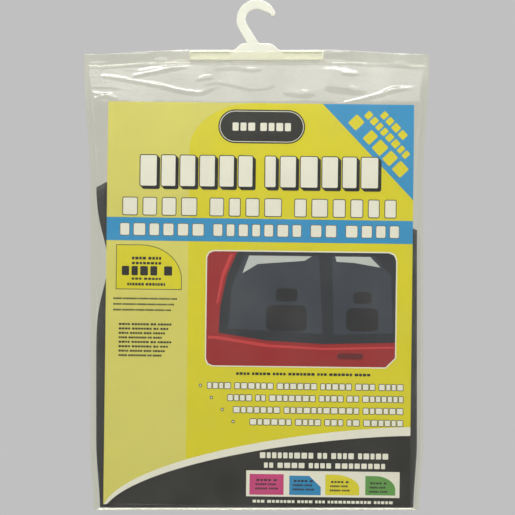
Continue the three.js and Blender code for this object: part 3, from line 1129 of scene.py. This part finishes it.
    def reverse_side(self) -> None:
        """A plain ruled chart on the card's back, which shows above the folded shades."""
        lines = Print(self.card, "print_back_rules", (70, 72, 78), 1, Face.BACK)
        entries = Print(self.card, "print_back_entries", (48, 50, 56), 2, Face.BACK)
        heads = Print(self.card, "print_back_heads", (64, 140, 190), 0, Face.BACK)
        heads.pill((105.0, 12.0), (198.0, 12.0), 1.5)
        for row in range(28):
            v = 22.0 + 8.8 * row
            lines.pill((105.0, v), (198.0, 0.35))
            for column in range(4):
                count = 3 + (row * 3 + column * 5) % 4
                u = 12.0 + 49.5 * column + (6.0 + 4.0 * count) / 2
                entries.blocks((u, v + 4.6), 6.0 + 4.0 * count, 2.0, (count, 3))
        for column in range(5):
            lines.pill((6.0 + 49.5 * column, 140.8), (0.35, 237.6))
        heads.build()
        lines.build()
        entries.build()

    def build(self) -> None:
        """Lays all the inks on the card."""
        self.fields()
        self.headline()
        self.corner()
        self.tag()
        self.picture()
        self.bullets()
        self.foot()
        self.reverse_side()


@dataclass
class FoldedShade:
    """A mesh sleeve: pressed flat, folded in half downwards, then in a zigzag of panels."""

    form: PackForm
    order: int
    panel_count: int = 4
    panel: float = 1.7
    gap: float = 0.3
    loose_inset: float = 5.0
    ply_offset: float = 0.4
    ply: float = 0.5
    hem: float = 8.0
    hem_roll: float = 0.12
    top_fall: float = 31.0
    top_corner: float = 9.0
    top_gap: float = 0.9
    top_wander: float = 0.8
    run_points: int = 46
    turn_points: int = 8
    rise_points: int = 44
    fold_points: int = 7
    edge_inset: float = 8.0
    inset_spread: float = 26.0
    inset_drop: float = 58.0

    @property
    def node(self) -> str:
        """The solid that this sleeve stands for."""
        return f"folded_shade_{self.order + 1}"

    @property
    def pitch(self) -> float:
        """Depth from one panel to the next."""
        return self.panel + self.gap

    def zigzag(self) -> tuple[np.ndarray, np.ndarray, np.ndarray, np.ndarray]:
        """The middle line of the zigzag: straight runs joined by half circles.

        Returns:
            x, y, the heading in radians and the length so far, at each point.
        """
        front = box_mm(self.node)[0][1]
        radius = self.pitch / 2
        reach = (self.form.panel_width - self.pitch - self.panel) / 2
        xs, ys, headings = [], [], []
        for panel in range(self.panel_count):
            way = -1.0 if panel % 2 else 1.0
            y = front + self.panel / 2 + panel * self.pitch
            first, last = panel == 0, panel == self.panel_count - 1
            start = -way * (reach - self.loose_inset * first)
            end = way * (reach - self.loose_inset * last)
            run = np.linspace(start, end, self.run_points)
            heading = 0.0 if way > 0 else math.pi
            xs.append(run)
            ys.append(np.full_like(run, y))
            headings.append(np.full_like(run, heading))
            if not last:
                swing = np.linspace(0, math.pi, self.turn_points)[1:-1]
                xs.append(end + way * radius * np.sin(swing))
                ys.append(y + radius * (1 - np.cos(swing)))
                headings.append(heading + way * swing)
        x, y, heading = (np.concatenate(part) for part in (xs, ys, headings))
        length = np.concatenate(([0.0], np.cumsum(np.hypot(np.diff(x), np.diff(y)))))
        return x, y, heading, length

    def top_edge(self, x: np.ndarray) -> np.ndarray:
        """Height of the cut top edge: level at the left, falling to the right, with round corners."""
        half, corner, fall = self.form.panel_width / 2, self.top_corner, self.top_fall
        top = box_mm(self.node)[1][2]
        t = np.linspace(0, 1, 30)
        left = np.stack(
            (
                (1 - t) ** 2 * -(half + corner) + 2 * t * (1 - t) * -half + t**2 * (2 * corner - half),
                (1 - t) ** 2 * -2 * corner,
            )
        )
        ends = (2 * corner - half, half - corner)
        bend_x = [ends[0], -half / 3, half / 3, ends[1]]
        bend_z = [0.0, 0.0, -fall / 2, -fall]
        cubic = [(1 - t) ** 3, 3 * t * (1 - t) ** 2, 3 * t**2 * (1 - t), t**3]
        middle = np.stack([sum(a * b for a, b in zip(bend, cubic)) for bend in (bend_x, bend_z)])
        right = np.stack(
            (
                (1 - t) ** 2 * ends[1] + 2 * t * (1 - t) * half + t**2 * (half + corner),
                -fall - 2 * corner * t**2,
            )
        )
        line = np.concatenate((left, middle, right), axis=1)
        return top + np.interp(x, line[0], line[1])

    def build(self) -> None:
        """Makes the cloth as one sheet: its rows run down one side of the fold and up the other."""
        form = self.form
        x, y, heading, length = self.zigzag()
        bottom = form.shade[0][2]
        straight, swing = self.rise_points, np.linspace(0, math.pi, self.fold_points)[1:-1]
        down, up = np.linspace(1, 0, straight), np.linspace(0, 1, straight)
        fall = np.concatenate((down, np.zeros(len(swing)), up))
        side = np.concatenate((np.full(straight, -1.0), -np.cos(swing), np.full(straight, 1.0)))
        dip = np.concatenate((np.zeros(straight), np.sin(swing), np.zeros(straight)))
        wander = self.top_wander * value_noise(x, heading * 9.0 + self.order * 40.0, (34.0, 11.0), 21)
        top = self.top_edge(x) - self.top_gap + wander
        low = bottom + self.ply_offset + self.ply / 2
        grid_x = np.broadcast_to(x, (len(fall), len(x)))
        z = low + fall[:, None] * (top - low)[None, :] - dip[:, None] * self.ply_offset
        roll = self.hem_roll * smooth(z - top[None, :] + self.hem, 0.0, 2.0)
        offset = side[:, None] * (self.ply_offset + roll)
        grid_x = grid_x + offset * np.cos(heading + math.pi / 2)
        grid_y = y + offset * np.sin(heading + math.pi / 2)
        drawn = form.taper_at(z) + (grid_x < 0) * self.edge_inset * np.exp(
            -(((z - (form.shade_top - self.inset_drop)) / self.inset_spread) ** 2)
        )
        grid_x = grid_x * (1.0 - drawn / (form.panel_width / 2))
        crumple = 0.16 * value_noise(grid_x, z, (26.0, 34.0), 31)
        crumple = crumple + 0.05 * value_noise(grid_x, z, (7.0, 9.0), 32)
        grid_y = grid_y + crumple * smooth(top[None, :] - z, -4.0, 14.0)
        points = np.stack((grid_x, grid_y, z), axis=-1)
        faces = grid_faces(*points.shape[:2])
        piece = add_mesh(f"mesh_sleeve_{self.order + 1}", points.reshape(-1, 3), faces)
        self.map_cloth(piece, length, top[None, :] - z)
        soften(piece)
        thicken(piece, "plies", self.ply)
        dress(piece, MeshCloth().make())
        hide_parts(self.node)
        flat = (length[-1] * MM, 2.0 * (form.shade_top - bottom) * MM)

    def map_cloth(self, piece: bpy.types.Object, length: np.ndarray, fall: np.ndarray) -> None:
        """Gives the cloth a UV map in millimetres, along the sheet and down from its cut edge.

        Args:
            piece: The sheet.
            length: The length along the zigzag at each column.
            fall: The distance of each point from the cut edge.
        """
        layer = piece.data.uv_layers.new(name="cloth")
        corner = np.empty(len(piece.data.loops), np.int32)
        piece.data.loops.foreach_get("vertex_index", corner)
        along = np.tile(length, fall.shape[0])
        uv = np.stack((along[corner], fall.reshape(-1)[corner]), axis=-1)
        layer.data.foreach_set("uv", uv.reshape(-1).astype(np.float32))


@dataclass(frozen=True)
class Crease:
    """A sharp fold in the film."""

    path: list[tuple[float, float]]
    width: float
    height: float


@dataclass
class FilmBag:
    """The clear bag: one film that runs up the front, over the bar, down the back and under."""

    form: PackForm
    column_step: float = 2.0
    body_step: float = 3.4
    header_step: float = 0.85
    back_step: float = 2.2
    free_step: float = 2.2
    vent_zone: float = 4.4
    vent_points: int = 12
    weld_fade: tuple[float, float] = (-0.2, 1.4)
    back_relief: float = 2.4
    slot_drop: float = 0.9
    behind: float = 1.0
    thickness: float = 0.06
    seam: float = 0.1
    vent_spacing: float = 120.0
    vent_height: float = 150.0
    vent_radius: float = 2.5
    dome_half: float = 17.3
    creases: tuple[Crease, ...] = (
        Crease([(-112.0, -42.8), (-100.0, -44.6), (-86.8, -48.0), (-62.8, -53.5), (-49.0, -56.9),
                (-38.8, -58.0), (-28.5, -53.5), (-23.7, -52.1)], 1.0, 1.15),
        Crease([(52.0, -66.5), (64.0, -64.5), (81.3, -59.7), (95.0, -55.6), (110.0, -52.4)], 1.1, 1.0),
        Crease([(-88.0, -45.6), (-77.2, -43.2), (-60.0, -40.6), (-43.0, -39.2)], 1.2, 1.1),
        Crease([(-84.0, -41.8), (-70.0, -39.6), (-50.0, -38.9)], 0.9, 0.7),
        Crease([(-64.0, -31.2), (-55.0, -33.2), (-46.0, -34.6)], 1.1, 0.6),
        Crease([(-92.0, -30.2), (-86.0, -31.2), (-80.5, -33.4)], 1.0, 0.6),
        Crease([(92.0, -31.2), (104.0, -34.0), (112.0, -37.2)], 1.1, 0.8),
        Crease([(-114.0, -57.0), (-104.0, -59.5), (-95.0, -62.5)], 1.1, 1.0),
        Crease([(-114.0, -62.0), (-106.0, -60.5), (-97.0, -57.0)], 0.9, 0.8),
        Crease([(86.0, -57.6), (93.5, -54.0), (101.0, -53.8)], 1.0, 1.0),
        Crease([(46.0, -52.0), (62.0, -54.5), (78.0, -57.5)], 3.0, 0.8),
        Crease([(-12.0, -40.6), (-4.0, -41.6), (3.0, -41.2)], 1.0, 0.7),
        Crease([(-42.0, -49.0), (-34.0, -46.5), (-27.0, -47.5)], 1.6, 0.6),
        Crease([(58.0, -43.4), (64.0, -44.2), (71.0, -43.6)], 1.0, 0.7),
        Crease([(16.0, -56.0), (28.0, -58.4), (41.0, -57.6)], 2.2, 0.5),
        Crease([(-98.0, -335.0), (-60.0, -338.0), (-6.0, -338.5)], 6.0, 1.3),
        Crease([(-108.6, -66.0), (-107.8, -90.0), (-108.8, -116.0), (-108.0, -128.0)], 1.0, 0.5),
        Crease([(108.4, -70.0), (109.2, -96.0), (108.6, -140.0)], 1.0, 0.5),
    )

    def columns(self) -> tuple[np.ndarray, np.ndarray]:
        """The places of the film's columns, finer at the vents and the slot.

        Returns:
            Each column's share of the inside's half width, and how far beyond it lies on the weld.
        """
        reach = self.form.panel_width / 2 + self.form.side_space
        half = np.arange(0.0, reach - self.form.side_turn, self.column_step)
        vent = self.vent_spacing / 2
        fine = vent + np.linspace(-self.vent_zone, self.vent_zone, self.vent_points)
        half = np.concatenate((half[np.abs(half - vent) > 4.9], fine, [self.dome_half]))
        edge = reach - self.form.side_turn * (1.0 - np.linspace(0, 1, 7)) ** 1.4
        half = np.unique(np.round(np.concatenate((half, edge)), 3)) / reach
        half = half[np.concatenate(([True], np.diff(half) > 0.25 / reach))]
        shares = np.concatenate((-half[:0:-1], half))
        weld = np.array([0.5, 1.0]) * self.form.edge_weld
        beyond = np.concatenate((-weld[::-1], np.zeros(len(shares)), weld))
        return np.concatenate(([-1.0, -1.0], shares, [1.0, 1.0])), beyond

    def spread(self, level: np.ndarray, reach: np.ndarray) -> tuple[np.ndarray, np.ndarray]:
        """Grids of x and z: the film's columns spread across each level, over the inside's reach."""
        shares, beyond = self.columns()
        x = shares * reach[:, None] + beyond
        return x, np.repeat(level[:, None], x.shape[1], axis=1)

    def heights(self, fine: float) -> np.ndarray:
        """Heights of the film's rows from the bottom fold to the hem weld.

        Args:
            fine: The step in the header, in millimetres.

        Returns:
            The heights, rising.
        """
        form = self.form
        turned = form.cavity_bottom + form.bottom_turn * np.linspace(0.0, 1.0, 8) ** 1.3
        vent = form.cavity_bottom + self.vent_height
        body = np.arange(turned[-1] + 3.0, form.shade_top, self.body_step)
        body = body[np.abs(body - vent) > 5.6]
        near = vent + np.linspace(-self.vent_zone, self.vent_zone, self.vent_points)
        body = np.sort(np.concatenate((body, near)))
        free = np.arange(form.shade_top, form.card_top - 4.0, self.free_step)
        header = np.arange(form.card_top - 3.0, form.cavity_top, fine)
        return np.concatenate((turned, body, free, header, [form.cavity_top]))

    def relief(self, x: np.ndarray, z: np.ndarray, face: Face) -> np.ndarray:
        """How far crinkles lift the film: strong where it hangs free, faint where it lies on the card.

        Args:
            x: Across the bag.
            z: Up the bag.
            face: Front or back.

        Returns:
            Millimetres outwards.
        """
        form = self.form
        seed = 51 if face is Face.FRONT else 71
        header = smooth(z, form.card_top - 6.0, form.card_top + 6.0)
        header = header * (1.0 - smooth(z, form.cavity_top - 5.0, form.cavity_top))
        side = smooth(np.abs(x), 98.0, 108.0)
        free = np.maximum(header, 0.6 * side)
        soft = 0.55 * value_noise(x, z, (34.0, 16.0), seed)
        soft = soft + 0.2 * value_noise(x, z, (13.0, 8.0), seed + 1)
        sharp = 0.5 * ridged_noise(x, z, (26.0, 15.0), seed + 2)
        lying = 0.16 * value_noise(x, z, (30.0, 44.0), seed + 3)
        lying = lying + 0.2 * ridged_noise(x, z, (46.0, 60.0), seed + 4)
        lying = lying * (1.0 if face is Face.FRONT else self.back_relief)
        upright = 0.5 * ridged_noise(x, z, (5.0, 60.0), seed + 5) * side
        lift = free * (soft + sharp) + (1.0 - free) * lying + upright
        if face is Face.FRONT:
            for crease in self.creases:
                lift = lift + crease.height * ridge(x, z, crease.path, crease.width)
        return np.maximum(lift, -0.7 * header - 0.12) * form.turn(x, z)

    def side(self, face: Face, fine: float) -> np.ndarray:
        """The points of the front or back film, from the bottom fold to the hem weld.

        Args:
            face: Front or back.
            fine: The step of its rows in the header.

        Returns:
            Rows of points.
        """
        form = self.form
        level = self.heights(fine)
        x, z = self.spread(level, form.reach(level))
        depth = form.front(x, z) if face is Face.FRONT else form.back(x, z)
        depth = depth + form.film / 2 + self.relief(x, z, face)
        depth = np.maximum(depth * smooth(form.reach(z) - np.abs(x), *self.weld_fade), self.seam)
        return np.stack((x, face.value * depth, z - form.hang(x, z)), axis=-1)

    def pocket(self) -> np.ndarray:
        """The points of the hem, from the front weld over the bar to the back weld."""
        form = self.form
        half = form.pocket_half + form.film / 2
        swing = np.linspace(-0.5 * math.pi, 1.5 * math.pi, 41)[1:-1]
        power = 2.0 / form.pocket_power
        share = np.sign(np.sin(swing)) * np.abs(np.sin(swing)) ** power
        level = form.pocket_middle + half * share
        reach = np.full_like(level, form.reach(np.array(form.cavity_top)))
        x, z = self.spread(level, reach)
        depth = form.pocket(x, np.repeat(share[:, None], x.shape[1], axis=1)) + form.film / 2
        crinkle = 0.6 * value_noise(x, z, (11.0, 4.5), 91) * smooth(np.abs(x), form.bar_end, 58.0)
        depth = (depth + crinkle) * smooth(reach[:, None] - np.abs(x), *self.weld_fade)
        depth = np.maximum(depth, self.seam)
        way = np.where(np.cos(swing) >= 0, -1.0, 1.0)[:, None]
        crown = np.abs(np.cos(swing))[:, None] ** 0.25
        return np.stack((x, way * depth * crown, z - form.hang(x, z)), axis=-1)

    def build(self) -> None:
        """Makes the film, opens the slot and the vents, and gives it its thickness."""
        front = self.side(Face.FRONT, self.header_step)
        back = self.side(Face.BACK, self.back_step)[::-1]
        hem = self.pocket()
        points = np.concatenate((front, hem, back))
        rows, columns = points.shape[:2]
        faces = grid_faces(rows, columns, looped=True)
        flat = points.reshape(-1, 3)
        flat, faces = self.punch(flat, faces)
        piece = add_mesh("clear_bag", flat, faces)
        soften(piece)
        thicken(piece, "film", self.thickness)
        dress(piece, ClearFilm().make())
        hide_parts("film_bag")

    def punch(self, points: np.ndarray, faces: np.ndarray) -> tuple[np.ndarray, np.ndarray]:
        """Opens the hem over the hanger's dome, and two round vents in the back.

        Args:
            points: The film's points.
            faces: Its quads.

        Returns:
            The points, with those round a vent drawn to its rim, and the faces that stay.
        """
        form = self.form
        points = points.copy()
        middle = points[faces].mean(axis=1)
        gone = (np.abs(middle[:, 0]) < self.dome_half) & (middle[:, 2] > form.bar_top - self.slot_drop)
        level = form.cavity_bottom + self.vent_height
        for side in (-1, 1):
            spot = np.array([side * self.vent_spacing / 2, level])
            away = points[:, [0, 2]] - spot
            distance = np.hypot(away[:, 0], away[:, 1])
            near = (points[:, 1] > self.behind) & (distance > 1e-6) & (distance < self.vent_radius + 0.55)
            rim = near & (distance > self.vent_radius - 0.45)
            points[rim, 0] = spot[0] + away[rim, 0] * self.vent_radius / distance[rim]
            points[rim, 2] = spot[1] + away[rim, 1] * self.vent_radius / distance[rim]
            centre = points[faces].mean(axis=1)
            inside = np.hypot(centre[:, 0] - spot[0], centre[:, 2] - spot[1]) < self.vent_radius - 0.15
            gone |= inside & (centre[:, 1] > self.behind)
        return points, faces[~gone]


@dataclass
class Studio:
    """Floor, background, lamps and camera."""

    form: PackForm
    photo_pixels: float = 515.0
    pixel: float = 0.686
    peg_pixel: tuple[float, float] = (256.5, 8.0)
    distance: float = 1600.0
    sensor: float = 36.0
    floor_drop: float = 420.0
    floor_radius: float = 1500.0
    aim: tuple[float, float, float] = (0.0, 0.0, -0.19)
    backdrop: tuple[float, float, float] = (192, 192, 192)
    room: float = 0.22

    def lamp(
        self,
        name: str,
        spot: tuple[float, float, float],
        size: tuple[float, float],
        watts: float,
        gloss_only: bool = False,
    ) -> None:
        """Adds a soft area lamp that points at the pack's middle.

        Args:
            name: Its name.
            spot: Its place, in metres.
            size: Its width and height, in metres.
            watts: Its power.
            gloss_only: Whether it only puts highlights on glossy surfaces.
        """
        light = bpy.data.lights.new(name, "AREA")
        light.shape = "RECTANGLE"
        light.size, light.size_y = size
        light.energy = watts
        lamp = bpy.data.objects.new(name, light)
        lamp.location = spot
        way = Vector(self.aim) - Vector(spot)
        lamp.rotation_euler = way.to_track_quat("-Z", "Y").to_euler()
        lamp.visible_diffuse = not gloss_only
        bpy.context.scene.collection.objects.link(lamp)

    def world(self) -> None:
        """A grey that the camera and gloss see, and an even white light for all else."""
        world = bpy.data.worlds.new("studio")
        bpy.context.scene.world = world
        world.use_nodes = True
        tree = world.node_tree
        tree.nodes.clear()
        path = tree.nodes.new("ShaderNodeLightPath")
        seen = path.outputs["Is Camera Ray"]
        for name in ("Is Glossy Ray", "Is Transmission Ray"):
            most = tree.nodes.new("ShaderNodeMath")
            most.operation = "MAXIMUM"
            tree.links.new(seen, most.inputs[0])
            tree.links.new(path.outputs[name], most.inputs[1])
            seen = most.outputs[0]
        light = tree.nodes.new("ShaderNodeBackground")
        light.inputs["Color"].default_value = (1.0, 1.0, 1.0, 1.0)
        light.inputs["Strength"].default_value = self.room
        shown = tree.nodes.new("ShaderNodeBackground")
        shown.inputs["Color"].default_value = linear(self.backdrop)
        shown.inputs["Strength"].default_value = 1.0
        mix = tree.nodes.new("ShaderNodeMixShader")
        output = tree.nodes.new("ShaderNodeOutputWorld")
        tree.links.new(seen, mix.inputs[0])
        tree.links.new(light.outputs[0], mix.inputs[1])
        tree.links.new(shown.outputs[0], mix.inputs[2])
        tree.links.new(mix.outputs[0], output.inputs["Surface"])

    def floor(self) -> None:
        """A round pale floor below the hanging pack."""
        swing = np.linspace(0, 2 * math.pi, 97)[:-1]
        level = self.form.cavity_bottom - self.floor_drop
        x, y = self.floor_radius * np.cos(swing), self.floor_radius * np.sin(swing)
        ring = np.stack((x, y, np.full_like(swing, level)), axis=-1)
        piece = add_mesh("studio_floor", ring, [list(range(len(ring)))])
        piece.data.materials.append(Ground().make())

    def camera(self) -> None:
        """A long lens straight at the card, framed so that the pack sits as in the photograph."""
        data = bpy.data.cameras.new("camera")
        data.sensor_width = self.sensor
        data.lens = self.sensor * self.distance / (self.photo_pixels * self.pixel)
        data.clip_end = 50.0
        camera = bpy.data.objects.new("camera", data)
        middle = self.photo_pixels / 2
        x = (middle - self.peg_pixel[0]) * self.pixel
        z = (self.peg_pixel[1] - middle) * self.pixel
        y = -(self.form.card_back + self.distance)
        camera.location = (x * MM, y * MM, z * MM)
        camera.rotation_euler = (math.pi / 2, 0.0, 0.0)
        bpy.context.scene.collection.objects.link(camera)
        bpy.context.scene.camera = camera

    def build(self) -> None:
        """Sets up the studio."""
        bpy.context.scene.view_settings.view_transform = "Standard"
        self.camera()
        self.world()
        self.floor()
        self.lamp("key", (-0.1, -0.98, 0.88), (1.5, 1.0), 15.5)
        self.lamp("top", (0.1, -0.5, 1.3), (1.4, 0.3), 8.0)
        self.lamp("strip", (0.0, -0.62, 1.15), (1.7, 0.5), 34.0, gloss_only=True)
        self.lamp("left", (-1.5, -1.3, 0.2), (0.6, 1.4), 3.0)
        self.lamp("right", (1.5, -1.5, 0.0), (0.9, 1.4), 4.0)
        self.lamp("rear", (0.3, 1.5, 0.8), (1.5, 1.0), 24.0)


def main() -> None:
    """Builds the pack piece by piece inside its studio."""
    logging.basicConfig(level=logging.INFO, format="%(name)s: %(message)s")
    form = PackForm()
    Studio(form).build()
    Hanger().build()
    card = Card(form)
    card.build()
    Artwork(card).build()
    FilmBag(form).build()
    for order in range(2):
        FoldedShade(form, order).build()


if __name__ == "__main__":
    main()
